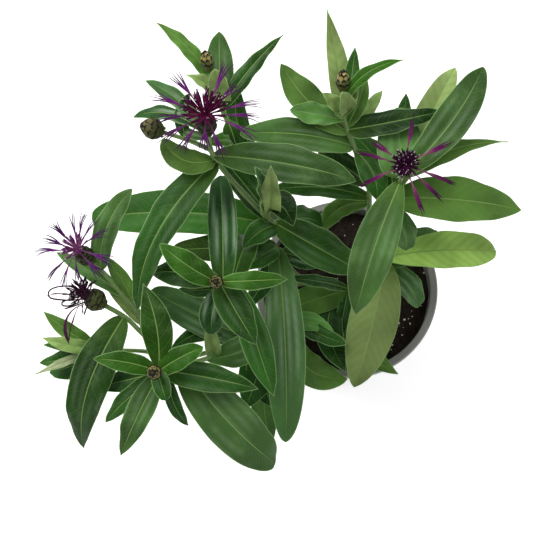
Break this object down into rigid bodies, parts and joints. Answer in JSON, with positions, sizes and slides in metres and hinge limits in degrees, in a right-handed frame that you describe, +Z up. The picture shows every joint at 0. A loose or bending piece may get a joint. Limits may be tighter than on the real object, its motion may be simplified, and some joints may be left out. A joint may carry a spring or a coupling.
{
  "type": "potted mountain cornflower",
  "caption": "Leaning, many-stemmed perennial with broad green leaves, fringed purple flower heads and scaly buds, growing in a round nursery pot.",
  "frame": {"origin": "centre of the pot's flat base, on the surface it stands on", "axes": "+Z up along the pot's axis, +X to the right and +Y away in the picture's view"},
  "size_m": [0.3144, 0.2793, 0.3185],
  "materials": {
    "pot_plastic": "matte, dark grey",
    "soil": "crumbly, nearly black",
    "leaf": "satin, softly downy",
    "scales": "dull, with dark fringed edges",
    "florets": "soft, purple"
  },
  "bodies": {
    "root": {"pot": "pot_plastic", "soil": "soil", "amethyst_shoot": "leaf", "high_bud_shoot": "leaf", "upright_bud_shoot": "leaf", "dark_flower_shoot": "leaf", "low_right_shoot": "leaf", "facing_bud_shoot": "leaf", "front_bud_shoot": "leaf", "left_flower_shoot": "leaf", "crown_leaves": "leaf", "flower_a_cup": "scales", "flower_b_cup": "scales", "flower_c_cup": "scales", "flower_g_cup": "scales", "bud_h": "scales", "bud_i": "scales", "bud_f": "scales", "bud_e": "scales", "bud_d": "scales", "flower_a_florets": "florets", "flower_b_florets": "florets", "flower_c_florets": "florets", "flower_g_florets": "florets"}
  },
  "joints": []
}
